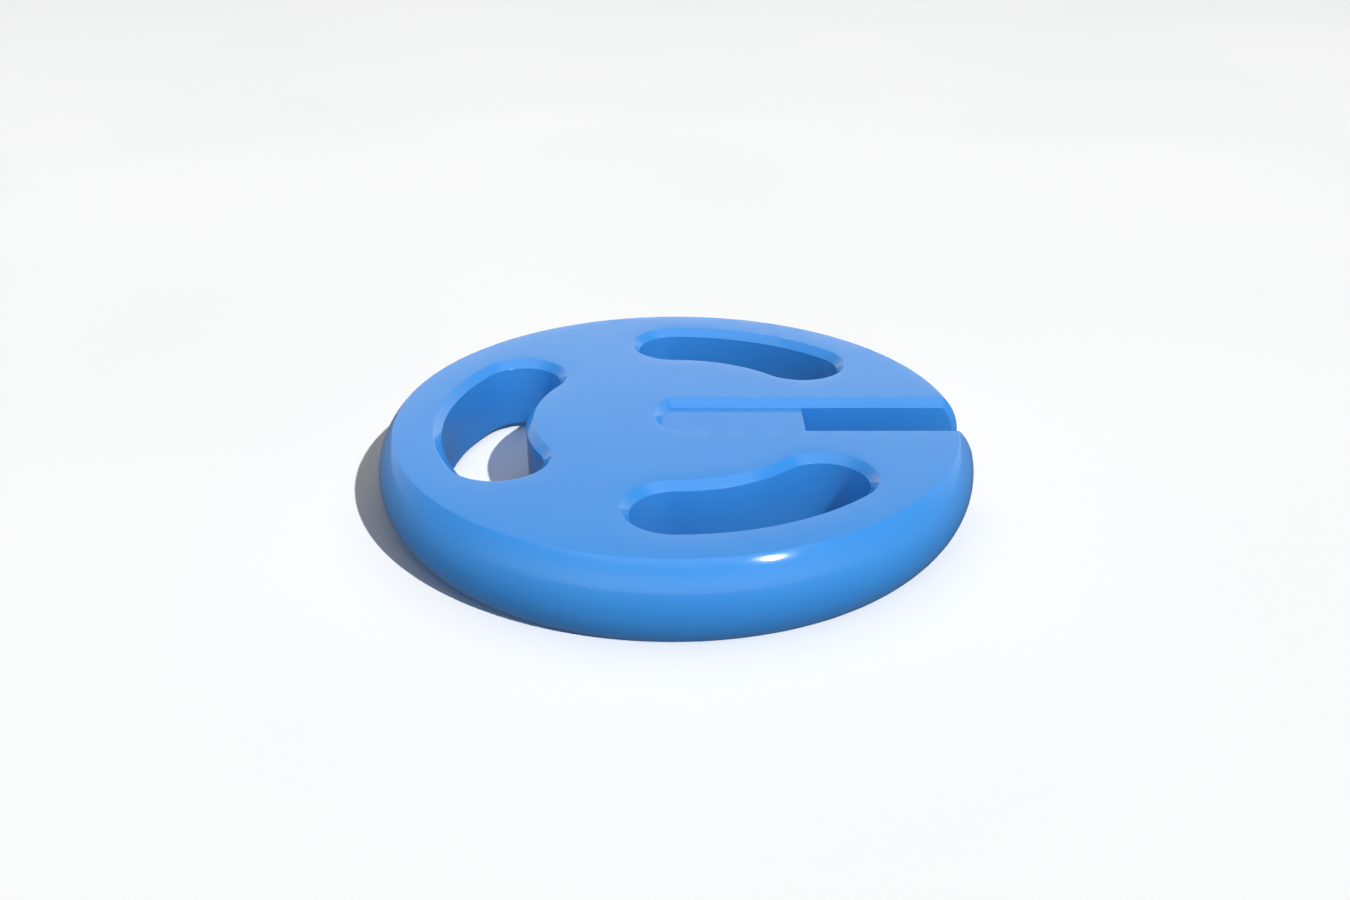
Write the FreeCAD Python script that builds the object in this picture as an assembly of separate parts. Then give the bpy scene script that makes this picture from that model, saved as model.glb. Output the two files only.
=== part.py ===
"""Transit token: a round plastic fare token with a contactless tag sealed inside.

Two moulded half shells meet on the middle plane. Together they form a thick disc with a bulged rim, three
curved sight windows and a key slot that runs in from the rim. The slot is open right through near the rim.
Nearer the middle a web closes it, level with the lower edge of the slot's chamfer, and covers the tag.
The tag is a small round board with a copper coil on each face, a chip and a resin cover.

Millimetres. +Z is up, the origin is the centre of the back face, and the slot opens towards +X.
"""

import FreeCAD
import Part

import math
import os

Vector = FreeCAD.Vector

# Token outline
token_diameter = 30.0
token_thickness = 4.1
rim_edge_angle = 45.0  # slope of the rim where it meets the flat faces, degrees from the rim's widest line
edge_chamfer = 0.4  # on every window and slot edge, both faces

# Sight windows: curved slots on one circle, given by the angles of their round ends' centres
rim_land = 3.2  # from a window's outer wall to the edge of the token
hub_land = 1.1  # from the end of the slot's web to a window's inner wall
window_spans = [(45.0, 90.0), (150.0, 210.0), (270.0, 315.0)]

# Key slot
slot_width = 3.2
slot_overrun = 0.7  # how far past the centre the slot reaches
slot_end_radius = 2.9

# Tag: the bought-in contactless inlay and what holds it
board_diameter = 10.0
board_thickness = 0.2
board_side_gap = 0.2
adhesive_thickness = 0.1
adhesive_setback = 0.1  # the adhesive stops this far inside the board's edge
cover_headroom = 0.35  # air above the chip cover

# Copper
copper_thickness = 0.05
track_width = 0.16
track_pitch = 0.32
coil_half_turns = 14  # on the front face; the back face has one more
coil_edge_setback = 0.3  # from the board's edge to the middle of the outer turn
via_radius = 0.08
via_pad_radius = 0.15

# Chip and its resin cover
chip_length = 0.9
chip_width = 0.7
chip_thickness = 0.15
chip_pad_lap = 0.2  # how far a track runs in under the chip
chip_cover_radius = 1.3
chip_cover_over_chip = 0.2  # resin above the chip

# Joint between the shells: weld tongues in grooves, and locating pins
tongue_width = 0.5
tongue_height = 0.35
tongue_side_gap = 0.03
tongue_floor_gap = 0.05
tongue_to_pocket = 0.35
tongue_to_opening = 0.45  # wall left between a tongue and a window or the slot
pin_radius = 0.7
pin_length = 0.9
socket_side_gap = 0.05
socket_floor_gap = 0.1
pin_lead = 0.15  # chamfer on the tip of a pin

# Worked out from the values above
token_radius = token_diameter / 2
middle = token_thickness / 2
rim_arc_radius = middle / math.sin(math.radians(rim_edge_angle))
rim_arc_centre = token_radius - rim_arc_radius
face_radius = rim_arc_centre + rim_arc_radius * math.cos(math.radians(rim_edge_angle))

board_radius = board_diameter / 2
pocket_radius = board_radius + board_side_gap
chip_stack = copper_thickness + chip_thickness + chip_cover_over_chip
tag_height = adhesive_thickness + copper_thickness + board_thickness + chip_stack
pocket_height = tag_height + cover_headroom
pocket_floor = middle - pocket_height / 2

hub_tongue_radius = pocket_radius + tongue_to_pocket + tongue_width / 2
web_end = hub_tongue_radius + tongue_width / 2 + tongue_to_opening
window_inner_radius = web_end + hub_land
window_outer_radius = token_radius - rim_land
window_pitch_radius = (window_inner_radius + window_outer_radius) / 2
window_width = window_outer_radius - window_inner_radius
rim_tongue_radius = (window_outer_radius + token_radius) / 2

adhesive_top = pocket_floor + adhesive_thickness
board_bottom = adhesive_top + copper_thickness
board_top = board_bottom + board_thickness
chip_bottom = board_top + copper_thickness
coil_outer_radius = board_radius - coil_edge_setback
coil_inner_radius = coil_outer_radius - coil_half_turns * track_pitch / 2
return_radius = coil_inner_radius - track_pitch / 2  # where the back coil ends, on the far side of the axis


def on_circle(radius, angle, z=0.0):
    """A point at that radius and angle, in degrees, from the token's axis."""
    return Vector(radius * math.cos(math.radians(angle)), radius * math.sin(math.radians(angle)), z)


def arc(start, through, end):
    return Part.Arc(start, through, end).toShape()


def line(start, end):
    return Part.LineSegment(start, end).toShape()


def prism(edges, bottom, top):
    """The solid between two heights over an outline that is drawn at z = 0."""
    face = Part.Face(Part.Wire(edges))
    face.translate(Vector(0, 0, bottom))
    return face.extrude(Vector(0, 0, top - bottom))


def arc_slot_edges(pitch_radius, width, first, last):
    """The outline of a curved slot with round ends, from the angle of one end's centre to that of the other."""
    inner = pitch_radius - width / 2
    outer = pitch_radius + width / 2
    mean = (first + last) / 2
    ends = {}
    for angle, side in ((first, -1), (last, 1)):
        along = on_circle(width / 2, angle + side * 90)
        ends[angle] = on_circle(pitch_radius, angle) + along
    return [
        arc(on_circle(inner, first), on_circle(inner, mean), on_circle(inner, last)),
        arc(on_circle(inner, last), ends[last], on_circle(outer, last)),
        arc(on_circle(outer, last), on_circle(outer, mean), on_circle(outer, first)),
        arc(on_circle(outer, first), ends[first], on_circle(inner, first)),
    ]


def window_cutters():
    """What is cut away for the windows, from well below the token to well above it."""
    outlines = [arc_slot_edges(window_pitch_radius, window_width, *span) for span in window_spans]
    return [prism(edges, -token_thickness, 2 * token_thickness) for edges in outlines]


def slot_cutter():
    """The slot as it is cut at first: from its rounded inner end out past the rim, right through."""
    half = slot_width / 2
    sag = slot_end_radius - math.sqrt(slot_end_radius**2 - half**2)
    shoulder = sag - slot_overrun
    far = token_diameter
    edges = [
        line(Vector(far, -half, 0), Vector(shoulder, -half, 0)),
        arc(Vector(shoulder, -half, 0), Vector(-slot_overrun, 0, 0), Vector(shoulder, half, 0)),
        line(Vector(shoulder, half, 0), Vector(far, half, 0)),
        line(Vector(far, half, 0), Vector(far, -half, 0)),
    ]
    return prism(edges, -token_thickness, 2 * token_thickness)


def bulged_disc():
    """The disc before anything is cut: flat faces and a rim that is an arc in section."""
    bottom_edge = Vector(face_radius, 0, 0)
    top_edge = Vector(face_radius, 0, token_thickness)
    section = Part.Wire(
        [
            line(Vector(0, 0, 0), bottom_edge),
            arc(bottom_edge, Vector(token_radius, 0, middle), top_edge),
            line(top_edge, Vector(0, 0, token_thickness)),
            line(Vector(0, 0, token_thickness), Vector(0, 0, 0)),
        ]
    )
    return Part.Face(section).revolve(Vector(0, 0, 0), Vector(0, 0, 1), 360)


def is_window_edge(edge):
    """True for an edge that a window leaves on a flat face."""
    points = edge.discretize(5)
    on_face = all(abs(p.z) < 1e-6 for p in points) or all(abs(p.z - token_thickness) < 1e-6 for p in points)
    return on_face and all(math.hypot(p.x, p.y) < face_radius - edge_chamfer for p in points)


def slot_face_chamfer():
    """What the chamfer takes off along the slot on the front face, over its straight sides and rounded end."""
    lap = edge_chamfer / 4
    low, high = token_thickness - edge_chamfer - lap, token_thickness + lap
    narrow, wide = slot_width / 2 - lap, slot_width / 2 + edge_chamfer + lap
    corners = [Vector(-token_radius, y, z) for y, z in ((-narrow, low), (narrow, low), (wide, high), (-wide, high))]
    section = Part.makePolygon(corners + corners[:1])
    sides = Part.Face(section).extrude(Vector(2.5 * token_radius, 0, 0))
    end_centre = slot_end_radius - slot_overrun
    end = Part.makeCone(
        slot_end_radius - lap, slot_end_radius + edge_chamfer + lap, high - low, Vector(end_centre, 0, low)
    )
    beyond = Part.makeBox(
        token_diameter, token_diameter, high - low, Vector(end_centre, -token_radius, low)
    )
    return sides.common(end.fuse(beyond))


def slot_mouth_chamfer():
    """What the chamfer takes off where the slot's walls come out through the rounded rim."""
    wall = slot_width / 2
    crest = math.sqrt(token_radius**2 - (wall + edge_chamfer / 2) ** 2)
    centre = crest - rim_arc_radius
    block = Part.makeBox(token_radius, edge_chamfer, token_thickness, Vector(centre, wall, 0))
    kept = Part.makeCone(
        rim_arc_radius - edge_chamfer, rim_arc_radius, edge_chamfer, Vector(centre, wall, middle), Vector(0, 1, 0)
    )
    return block.cut(kept)


def mirrored(shape, normal, base=(0, 0, 0)):
    return shape.mirror(Vector(*base), Vector(*normal))


def whole_casing():
    """Both shells as one solid, with the windows, the slot, their chamfers and the web."""
    casing = bulged_disc()
    for cutter in window_cutters():
        casing = casing.cut(cutter)
    casing = casing.makeChamfer(edge_chamfer, [e for e in casing.Edges if is_window_edge(e)])
    face_cut = slot_face_chamfer()
    mouth_cut = slot_mouth_chamfer()
    cuts = [
        slot_cutter(),
        face_cut,
        mirrored(face_cut, (0, 0, 1), (0, 0, middle)),
        mouth_cut,
        mirrored(mouth_cut, (0, 1, 0)),
    ]
    for cut in cuts:
        casing = casing.cut(cut)
    return casing.fuse(slot_web()).removeSplitter()


def slot_web():
    """The block that closes the inner part of the slot, set in from both faces by the chamfer."""
    block = Part.makeBox(
        web_end + token_radius,
        slot_width,
        token_thickness - 2 * edge_chamfer,
        Vector(-token_radius, -slot_width / 2, edge_chamfer),
    )
    return block.common(slot_cutter())


def half_of(casing, bottom):
    """The part of the casing in the half token above z = bottom."""
    slab = Part.makeBox(
        2 * token_diameter, 2 * token_diameter, middle, Vector(-token_diameter, -token_diameter, bottom)
    )
    return casing.common(slab)


def ring(radius, width, bottom, top):
    outer = Part.makeCylinder(radius + width / 2, top - bottom, Vector(0, 0, bottom))
    return outer.cut(Part.makeCylinder(radius - width / 2, top - bottom, Vector(0, 0, bottom)))


def joint_rings(depth, growth):
    """The two weld rings below the middle plane: a whole one round the tag, and one in the rim that stops
    short of the slot."""
    hub, rim = [
        ring(radius, tongue_width + 2 * growth, middle - depth, middle)
        for radius in (hub_tongue_radius, rim_tongue_radius)
    ]
    kept_off = slot_width + 2 * (tongue_to_opening - growth)
    gap = Part.makeBox(token_diameter, kept_off, token_thickness, Vector(web_end, -kept_off / 2, 0))
    return [hub, rim.cut(gap)]


def pin_angles():
    """One pin in each land between two windows, and one in each land between a window and the slot."""
    beside_slot = math.degrees(math.asin(slot_width / 2 / window_pitch_radius))
    round_end = math.degrees(math.asin(window_width / 2 / window_pitch_radius))
    first_window = window_spans[0][0] - round_end
    last_window = window_spans[-1][1] + round_end
    between = [(before[1] + after[0]) / 2 for before, after in zip(window_spans, window_spans[1:])]
    return [(beside_slot + first_window) / 2, *between, (last_window + 360 - beside_slot) / 2]


def pin(angle):
    """A locating pin that stands down from the middle plane, with a lead-in on its tip."""
    at = on_circle(window_pitch_radius, angle, middle)
    shank = Part.makeCylinder(pin_radius, pin_length - pin_lead, at, Vector(0, 0, -1))
    tip = Part.makeCone(
        pin_radius, pin_radius - pin_lead, pin_lead, at - Vector(0, 0, pin_length - pin_lead), Vector(0, 0, -1)
    )
    return shank.fuse(tip)


def socket(angle):
    at = on_circle(window_pitch_radius, angle, middle)
    return Part.makeCylinder(pin_radius + socket_side_gap, pin_length + socket_floor_gap, at, Vector(0, 0, -1))


def tag_pocket():
    return Part.makeCylinder(pocket_radius, pocket_height, Vector(0, 0, pocket_floor))


def front_shell(casing):
    """The upper half, which carries the weld tongues and the locating pins."""
    shell = half_of(casing, middle).cut(tag_pocket())
    additions = joint_rings(tongue_height, 0.0) + [pin(angle) for angle in pin_angles()]
    return shell.fuse(additions).removeSplitter()


def back_shell(casing):
    """The lower half, with the grooves and sockets that the front shell drops into."""
    shell = half_of(casing, 0.0).cut(tag_pocket())
    grooves = joint_rings(tongue_height + tongue_floor_gap, tongue_side_gap)
    for space in grooves + [socket(angle) for angle in pin_angles()]:
        shell = shell.cut(space)
    return shell


def adhesive_disc():
    return Part.makeCylinder(board_radius - adhesive_setback, adhesive_thickness, Vector(0, 0, pocket_floor))


def spiral_edges(outer_radius, half_turns, offset, turning):
    """One side of a coil track, from its outer end at +X inwards, as tangent half circles.

    Every half turn is centred a quarter of the pitch to one side or the other, so each is half a pitch smaller
    than the one before. offset moves this side off the track's middle, and turning is 1 or -1.
    """
    edges = []
    for k in range(half_turns):
        side = 1 if k % 2 == 0 else -1
        centre = side * track_pitch / 4
        radius = outer_radius - track_pitch / 4 - k * track_pitch / 2 + offset
        start = Vector(centre + side * radius, 0, 0)
        end = Vector(centre - side * radius, 0, 0)
        edges.append(arc(start, Vector(centre, side * turning * radius, 0), end))
    return edges


def coil_track(half_turns, turning, bottom):
    """A flat spiral of copper."""
    half = track_width / 2
    outside = spiral_edges(coil_outer_radius, half_turns, half, turning)
    inside = spiral_edges(coil_outer_radius, half_turns, -half, turning)
    side = 1 if half_turns % 2 == 0 else -1
    inner_end = side * (coil_outer_radius - half_turns * track_pitch / 2)
    caps = [
        line(Vector(coil_outer_radius + half, 0, 0), Vector(coil_outer_radius - half, 0, 0)),
        line(Vector(inner_end + side * half, 0, 0), Vector(inner_end - side * half, 0, 0)),
    ]
    outline = Part.Wire(Part.__sortEdges__(outside + inside + caps))
    face = Part.Face(outline)
    face.translate(Vector(0, 0, bottom))
    return face.extrude(Vector(0, 0, copper_thickness))


def pad(x, bottom):
    return Part.makeCylinder(via_pad_radius, copper_thickness, Vector(x, 0, bottom))


def lead(start, end, bottom):
    """A straight track along X between two distances from the axis."""
    low, high = sorted((start, end))
    return Part.makeBox(high - low, track_width, copper_thickness, Vector(low, -track_width / 2, bottom))


def front_coil():
    """The upper coil with its lead to the chip, and the lead that brings the lower coil's inner end to the chip."""
    under_chip = chip_length / 2 - chip_pad_lap
    spiral = coil_track(coil_half_turns, 1, board_top)
    ends = [pad(coil_outer_radius, board_top), lead(coil_inner_radius + track_width / 2, under_chip, board_top)]
    return_lead = pad(-return_radius, board_top).fuse(lead(-return_radius, -under_chip, board_top))
    return Part.makeCompound([spiral.fuse(ends).removeSplitter(), return_lead.removeSplitter()])


def back_coil():
    """The lower coil turns the other way inwards, so that the current goes round the same way in both."""
    spiral = coil_track(coil_half_turns + 1, -1, adhesive_top)
    return spiral.fuse([pad(x, adhesive_top) for x in via_places()]).removeSplitter()


def via_places():
    return [coil_outer_radius, -return_radius]


def coil_vias():
    """The plated copper posts that join the two coils through the board."""
    posts = [Part.makeCylinder(via_radius, board_thickness, Vector(x, 0, board_bottom)) for x in via_places()]
    return Part.makeCompound(posts)


def inlay_board():
    board = Part.makeCylinder(board_radius, board_thickness, Vector(0, 0, board_bottom))
    return board.cut(coil_vias())


def chip():
    return Part.makeBox(chip_length, chip_width, chip_thickness, Vector(-chip_length / 2, -chip_width / 2, chip_bottom))


def chip_cover():
    """A low dome of resin over the chip and the ends of its leads."""
    height = chip_stack
    ball_radius = (chip_cover_radius**2 + height**2) / (2 * height)
    ball = Part.makeSphere(ball_radius, Vector(0, 0, board_top + height - ball_radius))
    above_board = Part.makeBox(
        board_diameter, board_diameter, height, Vector(-board_radius, -board_radius, board_top)
    )
    return ball.common(above_board).cut(chip()).cut(front_coil())


def main():
    casing = whole_casing()
    nodes = {
        "front_shell": front_shell(casing),
        "back_shell": back_shell(casing),
        "adhesive_disc": adhesive_disc(),
        "inlay_board": inlay_board(),
        "front_coil": front_coil(),
        "back_coil": back_coil(),
        "coil_vias": coil_vias(),
        "chip": chip(),
        "chip_cover": chip_cover(),
    }
    os.makedirs("parts", exist_ok=True)
    for name, shape in nodes.items():
        shape.exportStep(f"parts/{name}.step")
        print(name, "solids", len(shape.Solids), "valid", shape.isValid(), "volume", round(shape.Volume, 3))


main()
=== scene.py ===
"""The looks of a contactless transit token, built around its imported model.

The two moulded shells are made again here as fine closed meshes, with rounded edges on the rim's crease,
the windows and the slot, and with the same pocket, weld tongues, grooves, pins and sockets inside. The tag
between them keeps its own solids and gets its materials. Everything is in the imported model's frame, which
is in metres. Lengths written in this file are millimetres until a mesh is finished.
"""

import logging
import math
from collections.abc import Callable, Sequence
from dataclasses import dataclass, field
from enum import Enum

import bmesh
import bpy
import numpy as np
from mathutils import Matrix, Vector
from mathutils.geometry import delaunay_2d_cdt


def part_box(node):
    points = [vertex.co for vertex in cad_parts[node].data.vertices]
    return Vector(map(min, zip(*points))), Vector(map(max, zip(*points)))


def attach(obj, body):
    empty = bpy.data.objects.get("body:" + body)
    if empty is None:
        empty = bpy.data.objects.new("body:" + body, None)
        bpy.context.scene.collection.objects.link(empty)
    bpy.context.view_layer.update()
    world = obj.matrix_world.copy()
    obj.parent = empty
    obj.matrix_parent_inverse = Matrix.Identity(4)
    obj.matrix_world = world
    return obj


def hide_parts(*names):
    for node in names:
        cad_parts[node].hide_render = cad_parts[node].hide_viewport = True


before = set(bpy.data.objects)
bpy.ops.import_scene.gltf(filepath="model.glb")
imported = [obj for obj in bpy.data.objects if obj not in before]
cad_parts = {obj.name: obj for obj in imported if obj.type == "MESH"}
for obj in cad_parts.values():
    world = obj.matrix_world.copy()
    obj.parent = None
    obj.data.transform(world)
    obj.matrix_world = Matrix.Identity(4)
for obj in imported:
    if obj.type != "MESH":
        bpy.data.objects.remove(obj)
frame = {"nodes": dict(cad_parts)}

log = logging.getLogger("transit_token")

MM = 0.001
# How far apart the points added inside a shell's flat faces are.
LATTICE_SPACING = 0.9
# An edge that turns by more than this, in degrees, stays crisp.
CRISP_ANGLE = 30.0
# The length of one wave, in metres, of a wave texture whose scale is 1.
WAVE_LENGTH = math.tau / 20
# Most of a noise texture's values lie between these two.
NOISE_RANGE = (0.3, 0.7)

Point = tuple[float, float]
Place = tuple[float, float, float]
Row = list[bmesh.types.BMVert]


class Half(Enum):
    """Which way a shell's outside faces, as the sign of its height above the mating plane."""

    FRONT = 1
    BACK = -1


# --------------------------------------------------------------------------------------------------
# Outlines


def polar(radius: float, angle: float, centre: Point = (0.0, 0.0)) -> Point:
    """A point on a circle.

    Args:
        radius: The circle's radius.
        angle: The point's direction from the centre, in degrees from +X.
        centre: The circle's centre.

    Returns:
        The point's x and y.
    """
    turn = math.radians(angle)
    return centre[0] + radius * math.cos(turn), centre[1] + radius * math.sin(turn)


def arc(radius: float, start: float, end: float, steps: int, centre: Point = (0.0, 0.0)) -> list[Point]:
    """Points along an arc, with both of its ends.

    Args:
        radius: The arc's radius.
        start: Where it starts, in degrees from +X.
        end: Where it ends. It may be less than start, which turns the arc the other way.
        steps: How many equal pieces it is divided into.
        centre: The arc's centre.

    Returns:
        steps + 1 points.
    """
    return [polar(radius, start + (end - start) * i / steps, centre) for i in range(steps + 1)]


def circle(radius: float, steps: int, centre: Point = (0.0, 0.0)) -> list[Point]:
    """A closed circle's points, from +X round, the first not repeated."""
    return arc(radius, 0.0, 360.0, steps, centre)[:-1]


def between(start: float, end: float, steps: int) -> list[float]:
    """Evenly spaced values after start, up to and with end."""
    return [start + (end - start) * (i + 1) / steps for i in range(steps)]


def rounded(corners: Sequence[Point], radius: float, steps: int) -> list[Point]:
    """A polyline whose inner corners are rounded off.

    Args:
        corners: The sharp polyline.
        radius: The radius at each inner corner.
        steps: How many pieces each rounding has.

    Returns:
        The polyline's points, with its two ends as they were.
    """
    points = [corners[0]]
    for before, corner, after in zip(corners, corners[1:], corners[2:]):
        here = Vector(corner)
        back = (Vector(before) - here).normalized()
        on = (Vector(after) - here).normalized()
        half = back.angle(on) / 2
        centre = here + (back + on).normalized() * (radius / math.sin(half))
        reach = radius / math.tan(half)
        first = here + back * reach - centre
        last = here + on * reach - centre
        sweep = math.pi - 2 * half
        for i in range(steps + 1):
            share = i / steps
            weight_first = math.sin((1 - share) * sweep) / math.sin(sweep)
            weight_last = math.sin(share * sweep) / math.sin(sweep)
            points.append(tuple(centre + first * weight_first + last * weight_last))
    points.append(corners[-1])
    return points


# --------------------------------------------------------------------------------------------------
# Mesh work


class ClosedMesh:
    """One closed piece, made from loops of points, strips between them and flat fills."""

    def __init__(self) -> None:
        """Starts with nothing in it."""
        self.mesh = bmesh.new()

    def points(self, places: Sequence[Place]) -> Row:
        """Adds points, in order."""
        return [self.mesh.verts.new(place) for place in places]

    def strip(self, one: Row, other: Row, closed: bool = True) -> None:
        """Joins two rows of points, of the same length, with four-sided faces.

        Args:
            one: The first row.
            other: The second row.
            closed: Whether each row's last point joins its first.
        """
        last = len(one) if closed else len(one) - 1
        for i in range(last):
            j = (i + 1) % len(one)
            self.mesh.faces.new((one[i], one[j], other[j], other[i]))

    def fill(self, loops: list[Row], axes: tuple[int, int] = (0, 1), spacing: float = 0.0) -> None:
        """Fills a flat region with triangles.

        Args:
            loops: The region's edges. A place is inside when an odd number of loops go round it.
            axes: The two axes that the region lies along.
            spacing: The distance between the points added inside it, so that no triangle spans the whole
                region. None are added for 0.
        """
        verts = [vert for loop in loops for vert in loop]
        flat = [(vert.co[axes[0]], vert.co[axes[1]]) for vert in verts]
        edges, outlines, start = [], [], 0
        for loop in loops:
            count = len(loop)
            edges += [(start + i, start + (i + 1) % count) for i in range(count)]
            outlines.append(np.array(flat[start : start + count]))
            start += count
        level = verts[0].co.copy()
        for place in self._inner_points(outlines, spacing) if spacing else ():
            level[axes[0]], level[axes[1]] = place
            verts.append(self.mesh.verts.new(level))
            flat.append(tuple(place))
        tolerance = 1e-6
        flat = [Vector(place) for place in flat]
        places, _, faces, sources, _, _ = delaunay_2d_cdt(flat, edges, [], 0, tolerance)
        middles = np.array([np.mean([places[i] for i in face], axis=0) for face in faces])
        for face, inside in zip(faces, self._inside(middles, outlines)):
            if inside:
                self.mesh.faces.new([verts[sources[i][0]] for i in face])

    @staticmethod
    def _inside(places: np.ndarray, outlines: list[np.ndarray]) -> np.ndarray:
        """Says which places lie in a region.

        Args:
            places: The places, one a row.
            outlines: The region's edges, each with one point a row.

        Returns:
            For each place, whether an odd number of the outlines go round it.
        """
        crossings = np.zeros(len(places), int)
        x, y = places[:, 0:1], places[:, 1:2]
        for outline in outlines:
            ax, ay = outline.T
            bx, by = np.roll(outline, -1, axis=0).T
            spans = (ay > y) != (by > y)
            rise = np.where(by == ay, 1.0, by - ay)
            crossings += (spans & (x < ax + (y - ay) * (bx - ax) / rise)).sum(axis=1)
        return crossings % 2 == 1

    def _inner_points(self, outlines: list[np.ndarray], spacing: float) -> np.ndarray:
        """A triangular lattice inside a region, kept off its edges.

        Args:
            outlines: The region's edges, the outermost first.
            spacing: The distance between neighbours.

        Returns:
            The lattice's points, one a row.
        """
        low, high = outlines[0].min(axis=0), outlines[0].max(axis=0)
        rows = np.arange(low[1], high[1], spacing * math.sqrt(3) / 2)
        lattice = [
            (x + (spacing / 2 if k % 2 else 0.0), y)
            for k, y in enumerate(rows)
            for x in np.arange(low[0], high[0], spacing)
        ]
        places = np.array(lattice)
        places = places[self._inside(places, outlines)]
        edge = np.concatenate(outlines)
        gaps = np.array([np.hypot(*(edge - place).T).min() for place in places])
        clear_of_edges = 0.6 * spacing
        return places[gaps > clear_of_edges]

    def finish(self, name: str, lift: Callable[[Place], Place] | None = None) -> bpy.types.Object:
        """Turns the piece into an object.

        Args:
            name: The object's name.
            lift: Takes a point of this mesh to its place in the scene, in millimetres. None keeps it.

        Returns:
            The object, linked to the scene and shaded.
        """
        for vert in self.mesh.verts:
            place = lift(tuple(vert.co)) if lift else vert.co
            vert.co = Vector(place) * MM
        bmesh.ops.recalc_face_normals(self.mesh, faces=self.mesh.faces)
        for face in self.mesh.faces:
            face.smooth = True
        for edge in self.mesh.edges:
            edge.smooth = edge.calc_face_angle(math.pi) < math.radians(CRISP_ANGLE)
        data = bpy.data.meshes.new(name)
        self.mesh.to_mesh(data)
        self.mesh.free()
        piece = bpy.data.objects.new(name, data)
        bpy.context.scene.collection.objects.link(piece)
        even = piece.modifiers.new("flat_faces_stay_flat", "WEIGHTED_NORMAL")
        even.keep_sharp = True
        return piece


# --------------------------------------------------------------------------------------------------
# Materials


def linear(hex_colour: str) -> tuple[float, float, float, float]:
    """Turns a colour to linear.

    Args:
        hex_colour: The sRGB colour, such as "#2a8bea".

    Returns:
        Its linear red, green and blue, and full alpha.
    """
    parts = [int(hex_colour[i : i + 2], 16) / 255 for i in (1, 3, 5)]
    red, green, blue = [c / 12.92 if c <= 0.04045 else ((c + 0.055) / 1.055) ** 2.4 for c in parts]
    return red, green, blue, 1.0


def empty_tree(holder: bpy.types.Material | bpy.types.World) -> bpy.types.NodeTree:
    """Gives a material or a world an empty node tree.

    Args:
        holder: The material or the world.

    Returns:
        The tree.
    """
    holder.use_nodes = True
    holder.node_tree.nodes.clear()
    return holder.node_tree


def add_node(
    tree: bpy.types.NodeTree,
    kind: str,
    settings: dict[str, object] | None = None,
    links: dict[str | int, bpy.types.NodeSocket] | None = None,
) -> bpy.types.Node:
    """Adds a shader node.

    Args:
        tree: The node tree.
        kind: The node's type, such as "ShaderNodeTexNoise".
        settings: Values by name. A capital starts an input socket's name, and any other is a property.
        links: Output sockets by the name or number of the input that each goes into.

    Returns:
        The node.
    """
    node = tree.nodes.new(kind)
    for name, value in (settings or {}).items():
        if name[0].isupper():
            node.inputs[name].default_value = value
        else:
            setattr(node, name, value)
    for name, source in (links or {}).items():
        tree.links.new(source, node.inputs[name])
    return node


def fade(
    tree: bpy.types.NodeTree, value: bpy.types.NodeSocket, span: Point, levels: Point
) -> bpy.types.NodeSocket:
    """Turns one value into another that changes evenly along a range and is level outside it.

    Args:
        tree: The node tree.
        value: The value.
        span: The range's two ends.
        levels: The result at those ends.

    Returns:
        The result.
    """
    settings = {"From Min": span[0], "From Max": span[1], "To Min": levels[0], "To Max": levels[1]}
    return add_node(tree, "ShaderNodeMapRange", settings, {"Value": value}).outputs["Result"]


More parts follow.
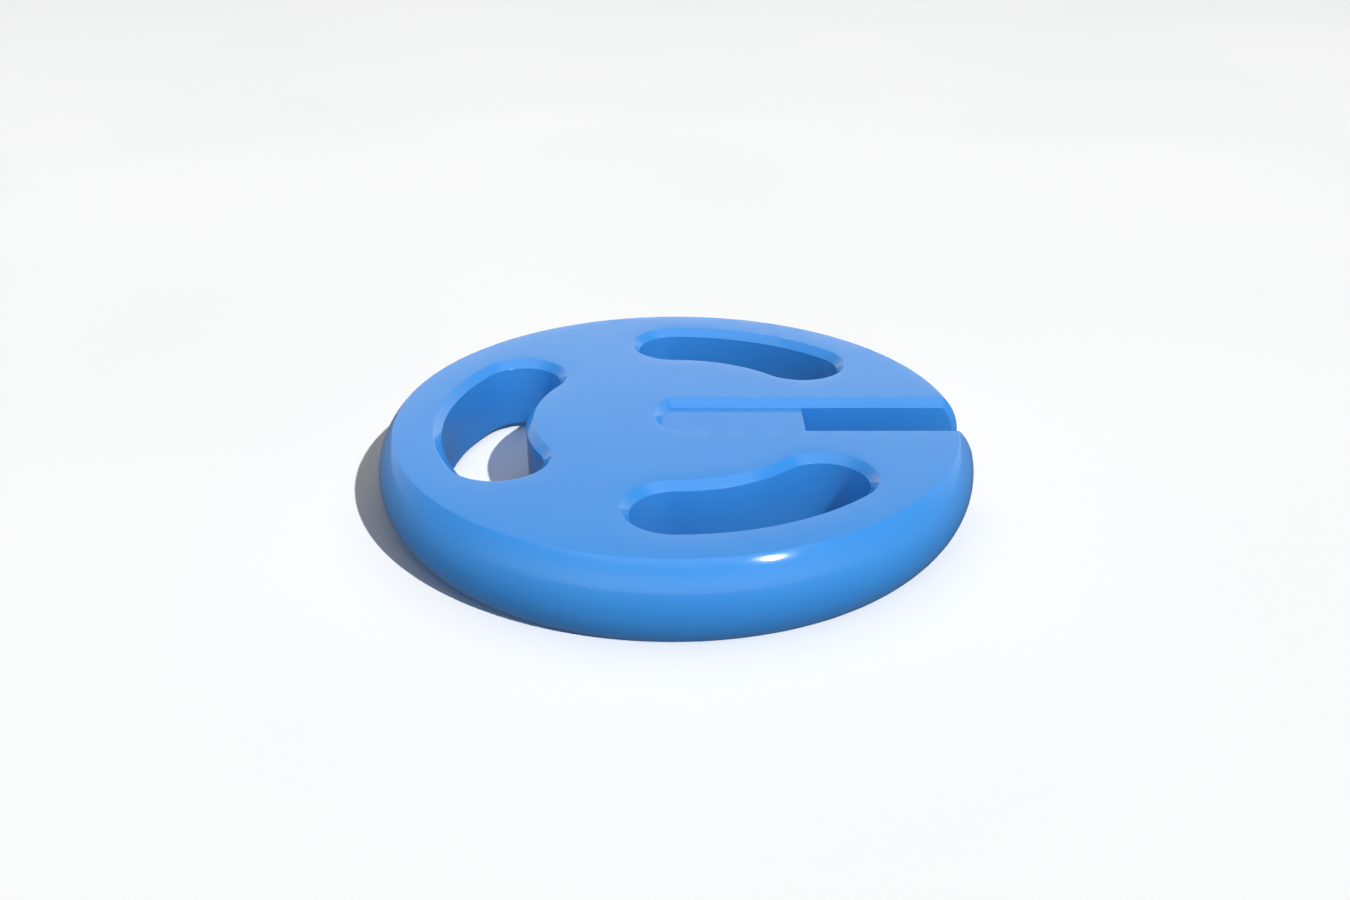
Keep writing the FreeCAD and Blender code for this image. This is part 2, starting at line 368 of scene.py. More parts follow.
class Surface:
    """A material in the making: its node tree, its principled shader and where its patterns are read."""

    def __init__(self, name: str, settings: dict[str, object]) -> None:
        """Starts with a plain material.

        Args:
            name: The material's name.
            settings: Values of the shader's own sockets.
        """
        self.material = bpy.data.materials.new(name)
        self.tree = empty_tree(self.material)
        self.shader = add_node(self.tree, "ShaderNodeBsdfPrincipled", settings)
        add_node(self.tree, "ShaderNodeOutputMaterial", links={"Surface": self.shader.outputs["BSDF"]})
        self.place = add_node(self.tree, "ShaderNodeTexCoord").outputs["Object"]

    def speckle(self, grain: float, detail: float, levels: Point | None = None) -> bpy.types.NodeSocket:
        """A noise pattern.

        Args:
            grain: The size of its patches, in millimetres.
            detail: How many finer layers it has.
            levels: What its dark and light patches come to. None leaves the noise as it is.

        Returns:
            Its value.
        """
        settings = {"Scale": 1 / (grain * MM), "Detail": detail, "Roughness": 0.5}
        noise = add_node(self.tree, "ShaderNodeTexNoise", settings, {"Vector": self.place}).outputs["Fac"]
        return self.spread(noise, levels) if levels else noise

    def bands(self, direction: str, spacing: float, distortion: float) -> bpy.types.NodeSocket:
        """A pattern of soft bands.

        Args:
            direction: The axis that they follow each other along, or "DIAGONAL".
            spacing: The distance from one to the next on a level face, in millimetres.
            distortion: How much they waver.

        Returns:
            Its value, from 0 to 1.
        """
        # A diagonal wave's pace is set along each axis at half of a straight one's.
        stretch = math.sqrt(2) if direction == "DIAGONAL" else 1.0
        scale = stretch * WAVE_LENGTH / (spacing * MM)
        settings = {"bands_direction": direction, "Scale": scale, "Distortion": distortion}
        return add_node(self.tree, "ShaderNodeTexWave", settings, {"Vector": self.place}).outputs["Fac"]

    def spread(self, value: bpy.types.NodeSocket, levels: Point) -> bpy.types.NodeSocket:
        """Turns a pattern's usual values to run between two levels."""
        return fade(self.tree, value, NOISE_RANGE, levels)

    def tint(self, amount: bpy.types.NodeSocket, base: str, other: str) -> None:
        """Gives the surface its colour.

        Args:
            amount: How much of the other colour there is.
            base: The main colour, in sRGB hex.
            other: The other colour, in sRGB hex.
        """
        mix = add_node(self.tree, "ShaderNodeMix", {"data_type": "RGBA"}, {"Factor": amount})
        first, second = [socket for socket in mix.inputs if socket.type == "RGBA"]
        first.default_value = linear(base)
        second.default_value = linear(other)
        result = next(socket for socket in mix.outputs if socket.type == "RGBA")
        self.tree.links.new(result, self.shader.inputs["Base Color"])

    def relief(self, height: bpy.types.NodeSocket, depth: float) -> None:
        """Gives the surface a relief.

        Args:
            height: Its height, from 0 to 1.
            depth: What a height of 1 stands for, in millimetres.
        """
        settings = {"Distance": depth * MM, "Strength": 1.0}
        bump = add_node(self.tree, "ShaderNodeBump", settings, {"Height": height})
        self.tree.links.new(bump.outputs["Normal"], self.shader.inputs["Normal"])


@dataclass(frozen=True)
class Finish:
    """A surface finish: its common name, colour and gloss."""

    name: str
    colour: str
    roughness: float
    ior: float = 1.5
    metallic: float = 0.0

    def material(self) -> bpy.types.Material:
        """Makes the material.

        Returns:
            The material, with this finish's pattern on it.
        """
        settings = {
            "Base Color": linear(self.colour),
            "Roughness": self.roughness,
            "IOR": self.ior,
            "Metallic": self.metallic,
        }
        surface = Surface(self.name, settings)
        self.pattern(surface)
        return surface.material

    def pattern(self, surface: Surface) -> None:
        """Adds the finish's own detail. A plain Finish has none."""


@dataclass(frozen=True)
class MouldedAbs(Finish):
    """Pigmented ABS from a polished mould: a smooth gloss with the faintest ripple and no grain."""

    streak_colour: str = "#398dde"
    streak_size: float = 6.0
    rubbed_size: float = 1.2
    glossier: float = 0.02
    duller: float = 0.03
    ripple_size: float = 0.8
    ripple_depth: float = 0.0015

    def pattern(self, surface: Surface) -> None:
        """Adds slow pigment streaks, a little uneven gloss from handling, and the mould's faint ripple.

        Args:
            surface: The material in the making.
        """
        streaks = surface.speckle(self.streak_size, detail=2.0, levels=(0.0, 1.0))
        surface.tint(streaks, self.colour, self.streak_colour)
        levels = (self.roughness - self.glossier, self.roughness + self.duller)
        gloss = surface.speckle(self.rubbed_size, detail=4.0, levels=levels)
        surface.tree.links.new(gloss, surface.shader.inputs["Roughness"])
        surface.relief(surface.speckle(self.ripple_size, detail=1.0), self.ripple_depth)


@dataclass(frozen=True)
class GlassEpoxy(Finish):
    """Woven glass in clear resin: a straw-coloured board with its cloth just showing."""

    thread_colour: str = "#d9cf9a"
    thread_spacing: float = 0.5
    # The real threads are too fine to show, so they are drawn this many times as coarse.
    coarser: float = 3.1416
    cloth_depth: float = 0.004

    def pattern(self, surface: Surface) -> None:
        """Adds two sets of threads that cross, as light and dark bands.

        Args:
            surface: The material in the making.
        """
        spacing = self.thread_spacing * self.coarser
        threads = {i: surface.bands(axis, spacing, distortion=0.4) for i, axis in enumerate("XY")}
        cloth = add_node(surface.tree, "ShaderNodeMath", {"operation": "MULTIPLY"}, threads).outputs[0]
        surface.tint(cloth, self.colour, self.thread_colour)
        surface.relief(cloth, self.cloth_depth)


@dataclass(frozen=True)
class EtchedCopper(Finish):
    """Rolled copper foil, etched: pink metal with a dull, slightly browned face."""

    browned_colour: str = "#9c5a3c"
    browned_size: float = 0.6
    tooth_size: float = 0.05
    tooth_depth: float = 0.002

    def pattern(self, surface: Surface) -> None:
        """Adds patches where the copper has browned, and the foil's fine tooth.

        Args:
            surface: The material in the making.
        """
        browned = surface.speckle(self.browned_size, detail=3.0, levels=(0.0, 0.6))
        surface.tint(browned, self.colour, self.browned_colour)
        surface.relief(surface.speckle(self.tooth_size, detail=2.0), self.tooth_depth)


@dataclass(frozen=True)
class GroundSilicon(Finish):
    """Silicon ground thin on its back: dark grey and nearly metallic, with fine straight grinding lines."""

    line_colour: str = "#6a6f78"
    line_spacing: float = 0.03
    # The real lines are too fine to show, so they are drawn this many times as coarse.
    coarser: float = 8.8858
    line_depth: float = 0.0005

    def pattern(self, surface: Surface) -> None:
        """Adds grinding lines along one direction.

        Args:
            surface: The material in the making.
        """
        lines = surface.bands("DIAGONAL", self.line_spacing * self.coarser, distortion=0.6)
        surface.tint(surface.spread(lines, (0.0, 0.5)), self.colour, self.line_colour)
        surface.relief(lines, self.line_depth)


@dataclass(frozen=True)
class CastEpoxy(Finish):
    """Black epoxy set from a drop: a wet gloss, dulled a little by its filler."""

    filler_colour: str = "#26272a"
    filler_size: float = 0.08
    filler_depth: float = 0.001

    def pattern(self, surface: Surface) -> None:
        """Adds the filler's faint grain.

        Args:
            surface: The material in the making.
        """
        filler = surface.speckle(self.filler_size, detail=2.0)
        surface.tint(surface.spread(filler, (0.0, 0.5)), self.colour, self.filler_colour)
        surface.relief(filler, self.filler_depth)


@dataclass(frozen=True)
class AcrylicAdhesive(Finish):
    """A film of transfer adhesive: milky and soft, with cloudy patches where it has wetted unevenly."""

    cloud_colour: str = "#f3efe2"
    cloud_size: float = 0.9
    cloud_depth: float = 0.003

    def pattern(self, surface: Surface) -> None:
        """Adds the cloudy patches.

        Args:
            surface: The material in the making.
        """
        cloud = surface.speckle(self.cloud_size, detail=3.0)
        surface.tint(surface.spread(cloud, (0.0, 0.8)), self.colour, self.cloud_colour)
        surface.relief(cloud, self.cloud_depth)


@dataclass(frozen=True)
class MattBoard(Finish):
    """Matt white board: an even, pale ground that takes a clear shadow and has no shine."""

    patch_colour: str = "#f7f8f8"
    patch_size: float = 40.0

    def pattern(self, surface: Surface) -> None:
        """Adds the board's very faint unevenness."""
        patches = surface.speckle(self.patch_size, detail=1.0, levels=(0.0, 1.0))
        surface.tint(patches, self.colour, self.patch_colour)


@dataclass(frozen=True)
class GlowingCloth:
    """White tent cloth lit from outside: bright low down, in front and behind, and dim at the sides."""

    name: str = "glowing_tent_cloth"
    glow: Point = (1.12, 0.55)
    front_share: float = 1.1
    side_share: float = 0.25
    back_share: float = 1.0
    # The parts of the tent's height and of its reach forward and back that the light fades along.
    fade_heights: Point = (0.3, 0.65)
    fade_depths: Point = (0.2, 0.9)

    def material(self, radius: float, height: float) -> bpy.types.Material:
        """Makes the material.

        Args:
            radius: The tent's radius.
            height: The tent's height.

        Returns:
            The material.
        """
        made = bpy.data.materials.new(self.name)
        tree = empty_tree(made)
        place = add_node(tree, "ShaderNodeTexCoord").outputs["Object"]
        axes = add_node(tree, "ShaderNodeSeparateXYZ", links={"Vector": place}).outputs
        low, high = [share * height * MM for share in self.fade_heights]
        near, far = [share * radius * MM for share in self.fade_depths]
        glow = fade(tree, axes["Z"], (low, high), self.glow)
        front = fade(tree, axes["Y"], (-far, -near), (self.front_share, self.side_share))
        back = fade(tree, axes["Y"], (near, far), (0.0, self.back_share - self.side_share))
        share = add_node(tree, "ShaderNodeMath", {"operation": "ADD"}, {0: front, 1: back}).outputs[0]
        shared = add_node(tree, "ShaderNodeMath", {"operation": "MULTIPLY"}, {0: glow, 1: share}).outputs[0]
        light = add_node(tree, "ShaderNodeEmission", links={"Strength": shared})
        add_node(tree, "ShaderNodeOutputMaterial", links={"Surface": light.outputs["Emission"]})
        return made


@dataclass(frozen=True)
class BackdropPaper:
    """White backdrop paper, evenly lit: a flat tone, a little greyer than the floor's."""

    name: str = "white_backdrop_paper"
    glow: float = 0.84

    def material(self) -> bpy.types.Material:
        """Makes the material.

        Returns:
            The material.
        """
        made = bpy.data.materials.new(self.name)
        tree = empty_tree(made)
        light = add_node(tree, "ShaderNodeEmission", {"Strength": self.glow})
        add_node(tree, "ShaderNodeOutputMaterial", links={"Surface": light.outputs["Emission"]})
        return made


# --------------------------------------------------------------------------------------------------
# The token


@dataclass
class Outside:
    """The token's outer shape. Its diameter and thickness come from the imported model."""

    radius: float
    half_thickness: float
    rim_edge_angle: float = 45.0
    chamfer: float = 0.4
    edge_radius: float = 0.04
    crease_radius: float = 0.1
    # The least radius that the crease keeps along the slot's chamfer, which cuts below it.
    least_crease_radius: float = 0.03
    rim_land: float = 3.2
    window_inner_radius: float = 7.6
    window_spans: tuple[Point, ...] = ((45.0, 90.0), (150.0, 210.0), (270.0, 315.0))
    slot_half_width: float = 1.6
    slot_overrun: float = 0.7
    slot_end_radius: float = 2.9
    web_end: float = 6.5
    # How many pieces each part of an outline is divided into.
    edge_steps: int = 4
    rim_steps: int = 20
    slot_side_steps: int = 12
    slot_end_steps: int = 24
    window_end_steps: int = 40
    # The sweep of one piece of a long arc, in degrees.
    round_step: float = 1.5

    @classmethod
    def from_frame(cls) -> "Outside":
        """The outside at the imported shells' own size."""
        low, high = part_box("back_shell")
        return cls(radius=-low.x / MM, half_thickness=(high.z - low.z) / MM)

    @property
    def outer_wall_radius(self) -> float:
        """The radius of the windows' outer walls."""
        return self.radius - self.rim_land

    @property
    def window_pitch_radius(self) -> float:
        """The radius of the circle that runs along the middle of the windows."""
        return (self.window_inner_radius + self.outer_wall_radius) / 2

    @property
    def rim_arc_radius(self) -> float:
        """The radius of the rim's section."""
        return self.half_thickness / math.sin(math.radians(self.rim_edge_angle))

    def steps(self, sweep: float) -> int:
        """How many pieces an arc of that sweep, in degrees, is divided into."""
        return max(2, round(abs(sweep) / self.round_step))

    def edge_profile(self) -> list[Point]:
        """The way from a window's wall to the flat face.

        Returns:
            Points as the distance out from the wall and the height above the mating plane.
        """
        top = self.half_thickness
        corners = [(0.0, 0.0), (0.0, top - self.chamfer), (self.chamfer, top), (2 * self.chamfer, top)]
        return rounded(corners, self.edge_radius, self.edge_steps)[:-1]

    def slot_profile(self) -> list[Point]:
        """The way from the lower edge of the slot's chamfer to the outer surface.

        Returns:
            Points as the distance out from the wall and the depth below the surface.
        """
        corners = [(0.0, self.chamfer), (self.chamfer, 0.0), (2 * self.chamfer, 0.0)]
        return rounded(corners, self.edge_radius, self.edge_steps)[:-1]

    def rim_profile(self, depth: float) -> list[Point]:
        """The rim's section, from its widest line up to the flat face, at some depth below the surface.

        Args:
            depth: How far the section lies inside the surface.

        Returns:
            Points as the distance from the axis and the height above the mating plane.
        """
        crease = max(self.crease_radius - depth, self.least_crease_radius)
        section = self.rim_arc_radius - depth
        axis = self.radius - self.rim_arc_radius
        height = self.half_thickness - depth - crease
        turn = math.degrees(math.asin(height / (section - crease)))
        across = axis + (section - crease) * math.cos(math.radians(turn))
        lower = arc(section, 0.0, turn, self.rim_steps, (axis, 0.0))
        return lower + arc(crease, turn, 90.0, self.edge_steps, (across, height))[1:]

    def window_outline(self, span: Point, out: float) -> list[Point]:
        """A window's outline, grown by some distance.

        Args:
            span: The angles of its round ends' centres.
            out: How far outside the window's wall the outline runs.

        Returns:
            The closed outline's points.
        """
        first, last = span
        pitch = self.window_pitch_radius
        cap = (self.outer_wall_radius - self.window_inner_radius) / 2 + out
        long_steps, cap_steps = self.steps(last - first), self.window_end_steps
        return [
            *arc(self.window_inner_radius - out, first, last, long_steps)[:-1],
            *arc(cap, last + 180, last, cap_steps, polar(pitch, last))[:-1],
            *arc(self.outer_wall_radius + out, last, first, long_steps)[:-1],
            *arc(cap, first, first - 180, cap_steps, polar(pitch, first))[:-1],
        ]

    def slot_line(self, out: float, depth: float) -> tuple[list[Place], int]:
        """One line of the slot's edge, from the rim's widest line, in round the slot's end and out again.

        Args:
            out: How far outside the slot's wall the line runs.
            depth: How far it runs below the surface.

        Returns:
            The line's points, and the number of the one at the end of the web.
        """
        side = self.slot_half_width + out
        level = self.half_thickness - depth
        mouth = [(math.sqrt(r * r - side * side), side, h) for r, h in self.rim_profile(depth)]
        end_radius = self.slot_end_radius + out
        end_centre = self.slot_end_radius - self.slot_overrun
        turn = math.degrees(math.asin(side / end_radius))
        shoulder = end_centre - end_radius * math.cos(math.radians(turn))
        flat = [(x, side, level) for x in between(mouth[-1][0], self.web_end, self.slot_side_steps)]
        flat += [(x, side, level) for x in between(self.web_end, shoulder, self.slot_side_steps)]
        one_side = mouth + flat
        end_arc = arc(end_radius, 180 - turn, 180 + turn, self.slot_end_steps, (end_centre, 0.0))
        end = [(x, y, level) for x, y in end_arc[1:-1]]
        other_side = [(x, -y, h) for x, y, h in reversed(one_side)]
        return one_side + end + other_side, len(mouth) + self.slot_side_steps - 1


@dataclass
class Joint:
    """How the shells meet round the tag. Gaps are added on the back shell only."""

    pocket_radius: float = 5.2
    pocket_height: float = 1.1
    tongue_width: float = 0.5
    tongue_height: float = 0.35
    tongue_side_gap: float = 0.03
    tongue_floor_gap: float = 0.05
    tongue_to_pocket: float = 0.35
    tongue_to_slot: float = 0.45
    pin_radius: float = 0.7
    pin_length: float = 0.9
    pin_lead: float = 0.15
    socket_side_gap: float = 0.05
    socket_floor_gap: float = 0.1
    pin_angles: tuple[float, ...] = (21.0, 120.0, 240.0, 339.0)
    # How many pieces each circle is divided into.
    pocket_steps: int = 200
    ring_steps: int = 240
    pin_steps: int = 48

    def hub_ring(self, growth: float) -> list[list[Point]]:
        """The whole ring round the tag.

        Args:
            growth: How far it is widened on each side.

        Returns:
            Its outer and its inner outline.
        """
        middle = self.pocket_radius + self.tongue_to_pocket + self.tongue_width / 2
        reach = self.tongue_width / 2 + growth
        return [circle(middle + reach, self.ring_steps), circle(middle - reach, self.ring_steps)]

    def rim_ring(self, outside: Outside, growth: float) -> list[list[Point]]:
        """The ring in the rim, which stops short of the slot.

        Args:
            outside: The token's outer shape.
            growth: How far it is widened on each side.

        Returns:
            Its one closed outline.
        """
        middle = outside.radius - outside.rim_land / 2
        outer, inner = middle + self.tongue_width / 2 + growth, middle - self.tongue_width / 2 - growth
        keep_off = outside.slot_half_width + self.tongue_to_slot - growth
        first, last = [math.degrees(math.asin(keep_off / radius)) for radius in (outer, inner)]
        steps = outside.steps(360.0)
        return [arc(outer, first, 360 - first, steps) + arc(inner, 360 - last, last, steps)]


@dataclass
class Shell:
    """One moulded half of the token, as a closed mesh with its inside."""

    half: Half
    outside: Outside
    joint: Joint
    sketch: ClosedMesh = field(default_factory=ClosedMesh)

    def build(self) -> bpy.types.Object:
        """Makes the half's mesh.

        Returns:
            The shell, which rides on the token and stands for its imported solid.
        """
        windows = self._windows()
        lines, web_index = self._slot_lines()
        levels = self._rim(lines)
        self._flat_face(lines, levels, windows)
        feet = self._web_and_walls(lines[0], web_index)
        self._mating_face(lines, levels[0], windows, feet)
        name = self.half.name.lower() + "_shell"
        middle = self.outside.half_thickness
        side = self.half.value
        piece = self.sketch.finish(f"{name}_moulding", lambda place: (*place[:2], middle + side * place[2]))
        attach(piece, "root")
        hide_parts(name)
        return piece

    def _windows(self) -> list[tuple[Row, Row]]:
        """Makes the windows' walls and chamfers.

        Returns:
            Each window's lowest and highest loop.
        """
        ends = []
        for span in self.outside.window_spans:
            loops = [
                self._row(self.outside.window_outline(span, out), height)
                for out, height in self.outside.edge_profile()
            ]
            for one, other in zip(loops, loops[1:]):
                self.sketch.strip(one, other)
            ends.append((loops[0], loops[-1]))
        return ends

    def _slot_lines(self) -> tuple[list[Row], int]:
        """Makes the slot's chamfer.

        Returns:
            Its lines, lowest first, and where the web's end falls on each.
        """
        lines = []
        web_index = 0
        for out, depth in self.outside.slot_profile():
            places, web_index = self.outside.slot_line(out, depth)
            lines.append(self.sketch.points(places))
        for one, other in zip(lines, lines[1:]):
            self.sketch.strip(one, other, closed=False)
        return lines, web_index

    def _rim(self, lines: list[Row]) -> list[Row]:
        """Makes the bulged rim between the two sides of the slot's mouth.

        Args:
            lines: The slot's lines.

        Returns:
            The rim's rows, lowest first.
        """
        edge = lines[-1]
        side = edge[0].co.y
        levels = []
        for i, (radius, height) in enumerate(self.outside.rim_profile(0.0)):
            start = math.degrees(math.asin(side / radius))
            around = arc(radius, start, 360 - start, self.outside.steps(360.0))[1:-1]
            levels.append([edge[i], *self._row(around, height), edge[-1 - i]])
        for one, other in zip(levels, levels[1:]):
            self.sketch.strip(one, other, closed=False)
        return levels

    def _flat_face(self, lines: list[Row], levels: list[Row], windows: list[tuple[Row, Row]]) -> None:
        """Fills the flat face between the rim, the slot and the windows.

        Args:
            lines: The slot's lines.
            levels: The rim's rows.
            windows: The windows' lowest and highest loops.
        """
        rim_count = len(levels)
        slot_edge = lines[-1][rim_count:-rim_count]
        outline = levels[-1] + slot_edge[::-1]
        self.sketch.fill([outline, *[top for _, top in windows]], spacing=LATTICE_SPACING)

    def _web_and_walls(self, line: Row, web_index: int) -> Row:
        """Makes the slot's walls and its web.

        Args:
            line: The lower edge of the slot's chamfer.
            web_index: Where the web's end falls on it.

        Returns:
            The two feet of the web's end on the mating plane.
        """
        width, end = self.outside.slot_half_width, self.outside.web_end
        feet = self.sketch.points([(end, -width, 0.0), (end, width, 0.0)])
        self.sketch.fill([line[web_index : len(line) - web_index]], spacing=LATTICE_SPACING)
        self.sketch.mesh.faces.new((line[web_index], line[-1 - web_index], feet[0], feet[1]))
        for side, foot in ((line, feet[1]), (line[::-1], feet[0])):
            self.sketch.fill([[*side[: web_index + 1], foot]], axes=(0, 2))
        return feet

    def _mating_face(
        self, lines: list[Row], equator: Row, windows: list[tuple[Row, Row]], feet: Row
    ) -> None:
        """Fills the face that meets the other shell, with the pocket and what locks the two together.

        Args:
            lines: The slot's lines.
            equator: The rim's widest row.
            windows: The windows' lowest and highest loops.
            feet: The two feet of the web's end.
        """
        joint = self.joint
        male = self.half is Half.FRONT
        mouth_back = [line[-1] for line in reversed(lines)]
        mouth_front = [line[0] for line in lines]
        outline = equator[:-1] + mouth_back + feet + mouth_front[:-1]
        growth = 0.0 if male else joint.tongue_side_gap
        ring_depth = -joint.tongue_height if male else joint.tongue_height + joint.tongue_floor_gap
        loops = [outline, *[bottom for bottom, _ in windows]]
        loops += self._sink([circle(joint.pocket_radius, joint.pocket_steps)], joint.pocket_height / 2)
        loops += self._sink(joint.hub_ring(growth), ring_depth)
        loops += self._sink(joint.rim_ring(self.outside, growth), ring_depth)
        loops += [self._pin_or_socket(angle) for angle in joint.pin_angles]
        self.sketch.fill(loops, spacing=LATTICE_SPACING)

    def _pin_or_socket(self, angle: float) -> Row:
        """Makes a pin with a bevelled tip on the front shell, or the socket for one in the back shell.

        Args:
            angle: Its direction from the axis, in degrees.

        Returns:
            Its loop on the mating plane.
        """
        joint = self.joint
        if self.half is Half.FRONT:
            tip, lead = -joint.pin_length, joint.pin_lead
            steps = [(joint.pin_radius, tip + lead), (joint.pin_radius - lead, tip)]
        else:
            depth = joint.pin_length + joint.socket_floor_gap
            steps = [(joint.pin_radius + joint.socket_side_gap, depth)]
        at = polar(self.outside.window_pitch_radius, angle)
        profile = [(steps[0][0], 0.0), *steps]
        rows = [self._row(circle(radius, joint.pin_steps, at), height) for radius, height in profile]
        for one, other in zip(rows, rows[1:]):
            self.sketch.strip(one, other)
        self.sketch.fill([rows[-1]])
        return rows[0]

    def _row(self, outline: list[Point], height: float) -> Row:
        """Adds an outline's points at some height above the mating plane."""
        return self.sketch.points([(x, y, height) for x, y in outline])

    def _sink(self, outlines: list[list[Point]], height: float) -> list[Row]:
        """Sinks or raises a region from the mating plane.

        Args:
            outlines: The region's edges.
            height: The height that it goes to.

        Returns:
            The region's loops on the mating plane.
        """
        loops = [self._row(outline, 0.0) for outline in outlines]
        floor = [self._row(outline, height) for outline in outlines]
        for one, other in zip(loops, floor):
            self.sketch.strip(one, other)
        self.sketch.fill(floor, spacing=LATTICE_SPACING)
        return loops


@dataclass
class Casing:
    """The two welded shells."""

    outside: Outside
    joint: Joint = field(default_factory=Joint)
    finish: Finish = MouldedAbs("moulded_abs_blue", "#3b90e0", roughness=0.11, ior=1.52)

    def build(self) -> list[bpy.types.Object]:
        """Makes both shells and dresses them.

        Returns:
            The two pieces.
        """
        pieces = [Shell(half, self.outside, self.joint).build() for half in Half]
        material = self.finish.material()
        for piece in pieces:
            piece.data.materials.append(material)
            log.info("%s: %d faces", piece.name, len(piece.data.polygons))
        return pieces


@dataclass
class Tag:
    """The contactless tag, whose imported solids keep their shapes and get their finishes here."""

    board: Finish = GlassEpoxy("glass_epoxy_laminate", "#b9a566", roughness=0.45, ior=1.55)
    copper: Finish = EtchedCopper("etched_copper_foil", "#d98a66", roughness=0.35, metallic=1.0)
    chip: Finish = GroundSilicon("ground_silicon", "#4b4f57", roughness=0.3, metallic=0.6)
    cover: Finish = CastEpoxy("cast_black_epoxy", "#141517", roughness=0.22, ior=1.55)
    adhesive: Finish = AcrylicAdhesive("acrylic_transfer_adhesive", "#ddd6c2", roughness=0.5, ior=1.47)

    def dress(self, nodes: dict[str, bpy.types.Object]) -> None:
        """Gives each of the tag's solids its material.

        Args:
            nodes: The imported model's solids by name.
        """
        finishes = {
            self.board: ("inlay_board",),
            self.copper: ("front_coil", "back_coil", "coil_vias"),
            self.chip: ("chip",),
            self.cover: ("chip_cover",),
            self.adhesive: ("adhesive_disc",),
        }
        for finish, names in finishes.items():
            material = finish.material()
            for name in names:
                for slot in nodes[name].material_slots:
                    slot.material = material
                log.info("%s: %s", name, finish.name)


# --------------------------------------------------------------------------------------------------
# The studio


@dataclass(frozen=True)
class Lamp:
    """A round light far away. Its direction and width are in degrees, as seen from the token."""

    name: str
    turn: float
    height: float
    strength: float
    width: float
    casts_shadow: bool = True
    shows_in_gloss: bool = True

    def build(self, lit: bpy.types.Collection) -> None:
        """Makes the light.

        Args:
            lit: What it lights.
        """
        data = bpy.data.lights.new(self.name, "SUN")
        data.energy = self.strength
        data.angle = math.radians(self.width)
        data.use_shadow = self.casts_shadow
        lamp = bpy.data.objects.new(self.name, data)
        level, up = polar(1.0, self.height)
        towards = Vector((*polar(level, self.turn), up))
        lamp.rotation_euler = towards.to_track_quat("Z", "Y").to_euler()
        lamp.light_linking.receiver_collection = lit
        lamp.visible_glossy = self.shows_in_gloss
        bpy.context.scene.collection.objects.link(lamp)
        log.info("%s: strength %.2f", self.name, self.strength)


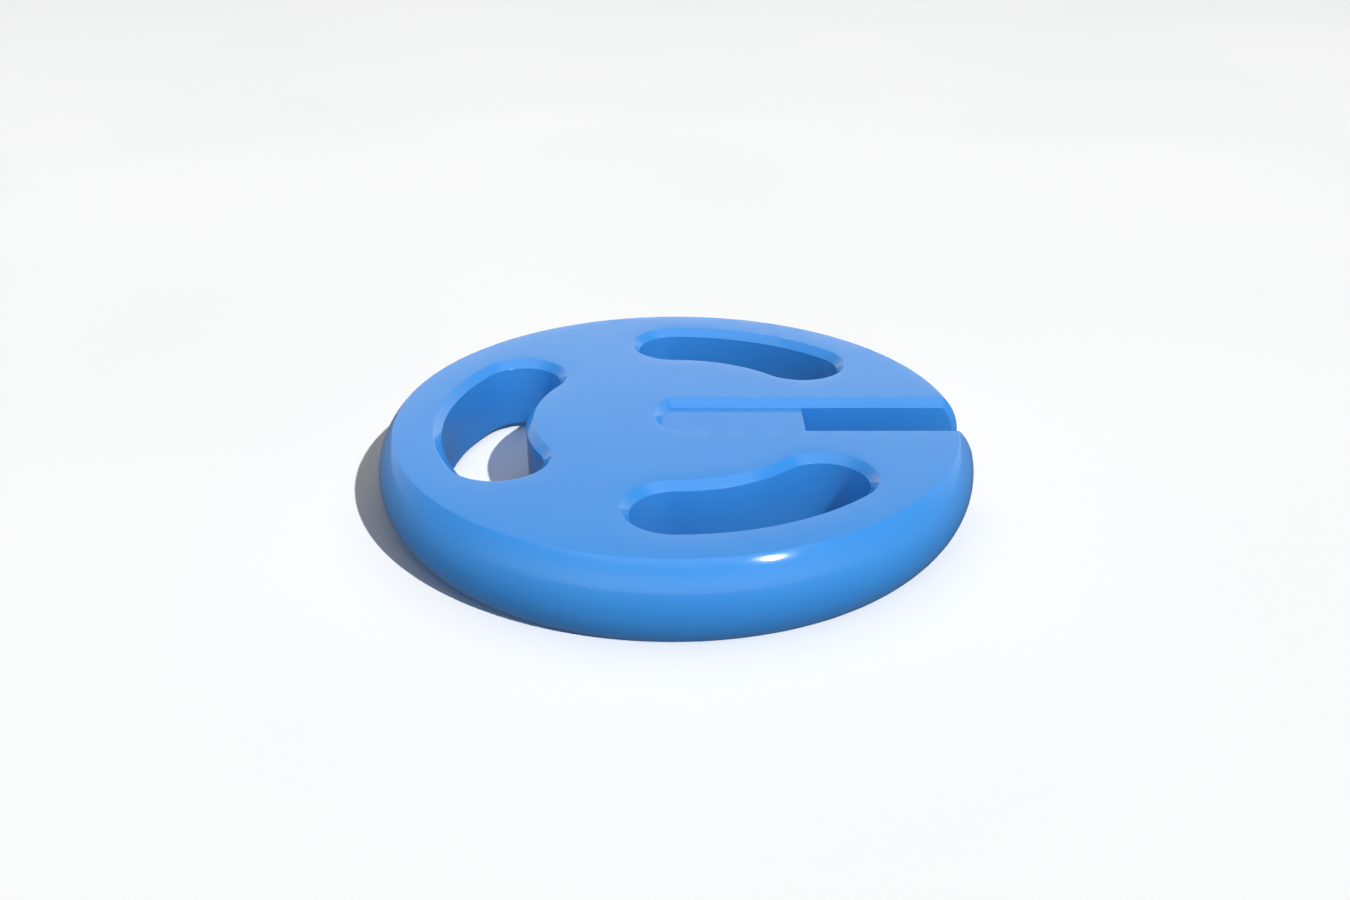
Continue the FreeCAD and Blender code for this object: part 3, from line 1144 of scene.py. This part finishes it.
@dataclass
class Studio:
    """The floor, the light tent, the lamps and the camera."""

    floor_size: float = 3000.0
    tent_radius: float = 300.0
    tent_height: float = 300.0
    backdrop_gap: float = 1.0
    ring_steps: int = 96
    board: Finish = MattBoard("matt_white_board", "#fbfbfb", roughness=0.9)
    cloth: GlowingCloth = GlowingCloth()
    paper: BackdropPaper = BackdropPaper()
    # The room's light from below and from above, and the heights between which a direction one long has
    # a mix of the two.
    room_glow: Point = (0.1, 0.5)
    room_fade: Point = (-0.5, 0.3)
    # A small lamp in front to the right, with a wider one round it. The two soft lights throw no shadow,
    # and the one in front is kept out of the gloss, so that the streak on the rim stays small.
    token_lamps: tuple[Lamp, ...] = (
        Lamp("lamp", turn=-48.8, height=43.3, strength=1.2, width=2.0),
        Lamp("wide_lamp", turn=-48.8, height=43.3, strength=0.55, width=11.0),
        Lamp("soft_top_light", turn=-84.0, height=58.0, strength=0.88, width=84.0, casts_shadow=False),
        Lamp(
            "front_fill",
            turn=-62.0,
            height=20.0,
            strength=1.05,
            width=60.0,
            casts_shadow=False,
            shows_in_gloss=False,
        ),
    )
    # The floor has a lamp of its own in the same place, which keeps its shadow dark and its edge clear.
    floor_lamp: Lamp = Lamp("floor_lamp", turn=-48.8, height=43.3, strength=3.55, width=1.0)
    camera_distance: float = 65.58
    camera_pitch: float = 26.342
    camera_side: float = -0.055
    lens: float = 33.93
    clip_start: float = 1.0
    clip_end: float = 20000.0

    def build(self, token: Sequence[bpy.types.Object], middle: float) -> None:
        """Makes the floor, the lights and the camera.

        Args:
            token: The token's pieces.
            middle: The height of the token's middle, which the camera looks at.
        """
        floor = self._floor()
        self._room()
        on_the_token = self._group("lit_on_the_token", token)
        on_the_floor = self._group("lit_on_the_floor", [floor])
        self._tent(on_the_token)
        self._backdrop()
        for lamp in self.token_lamps:
            lamp.build(on_the_token)
        self.floor_lamp.build(on_the_floor)
        self._camera(middle)

    def _group(self, name: str, pieces: Sequence[bpy.types.Object]) -> bpy.types.Collection:
        """A collection that says what a light is for.

        Args:
            name: The collection's name.
            pieces: What it holds.

        Returns:
            The collection.
        """
        group = bpy.data.collections.new(name)
        for piece in pieces:
            group.objects.link(piece)
        return group

    def _floor(self) -> bpy.types.Object:
        """Makes a wide, level board, which takes the token's shadow and throws no light back at it.

        Returns:
            The floor.
        """
        board = ClosedMesh()
        reach = self.floor_size / 2
        corners = [(-reach, -reach, 0.0), (reach, -reach, 0.0), (reach, reach, 0.0), (-reach, reach, 0.0)]
        board.mesh.faces.new(board.points(corners))
        floor = board.finish("floor")
        floor.data.materials.append(self.board.material())
        floor.visible_diffuse = False
        floor.visible_glossy = False
        floor.visible_shadow = False
        return floor

    def _ring(self, name: str, radius: float, height: float) -> bpy.types.Object:
        """Makes a round wall that stands on the floor and isn't part of the object.

        Args:
            name: Its name.
            radius: Its radius.
            height: Its height.

        Returns:
            The wall, which throws no shadow.
        """
        wall = ClosedMesh()
        outline = circle(radius, self.ring_steps)
        low, high = [wall.points([(x, y, level) for x, y in outline]) for level in (0.0, height)]
        wall.strip(low, high)
        ring = wall.finish(name)
        ring.visible_shadow = False
        return ring

    def _tent(self, lit: bpy.types.Collection) -> None:
        """Makes the glowing tent, which the camera sees only in the token's gloss.

        Args:
            lit: What it lights.
        """
        tent = self._ring("light_tent", self.tent_radius, self.tent_height)
        tent.data.materials.append(self.cloth.material(self.tent_radius, self.tent_height))
        tent.visible_camera = False
        tent.light_linking.receiver_collection = lit

    def _backdrop(self) -> None:
        """Makes a plain white wall just outside the tent, which only the camera sees."""
        backdrop = self._ring("backdrop", self.tent_radius + self.backdrop_gap, 2 * self.tent_height)
        backdrop.data.materials.append(self.paper.material())
        backdrop.visible_diffuse = False
        backdrop.visible_glossy = False

    def _room(self) -> None:
        """Makes a dim room, darker towards the ground."""
        world = bpy.data.worlds.new("dim_room")
        tree = empty_tree(world)
        place = add_node(tree, "ShaderNodeTexCoord").outputs["Generated"]
        height = add_node(tree, "ShaderNodeSeparateXYZ", links={"Vector": place}).outputs["Z"]
        glow = fade(tree, height, self.room_fade, self.room_glow)
        light = add_node(tree, "ShaderNodeBackground", {"Color": linear("#ffffff")}, {"Strength": glow})
        add_node(tree, "ShaderNodeOutputWorld", links={"Surface": light.outputs["Background"]})
        bpy.context.scene.world = world

    def _camera(self, middle: float) -> None:
        """Makes a camera that looks along +Y and down at the middle of the token.

        Args:
            middle: The height of the token's middle.
        """
        data = bpy.data.cameras.new("camera")
        data.lens = self.lens
        data.clip_start = self.clip_start * MM
        data.clip_end = self.clip_end * MM
        camera = bpy.data.objects.new("camera", data)
        level, up = polar(1.0, self.camera_pitch)
        away = Vector((0.0, -level, up))
        camera.location = (Vector((self.camera_side, 0.0, middle)) + away * self.camera_distance) * MM
        camera.rotation_euler = away.to_track_quat("Z", "Y").to_euler()
        bpy.context.scene.collection.objects.link(camera)
        bpy.context.scene.camera = camera


def main() -> None:
    """Builds the token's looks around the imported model, and the studio that it stands in."""
    logging.basicConfig(level=logging.INFO, format="%(name)s %(message)s")
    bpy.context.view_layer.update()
    outside = Outside.from_frame()
    shells = Casing(outside).build()
    Tag().dress(frame["nodes"])
    Studio().build([*shells, *frame["nodes"].values()], outside.half_thickness)
    bpy.context.scene.view_settings.view_transform = "Standard"


if __name__ == "__main__":
    main()
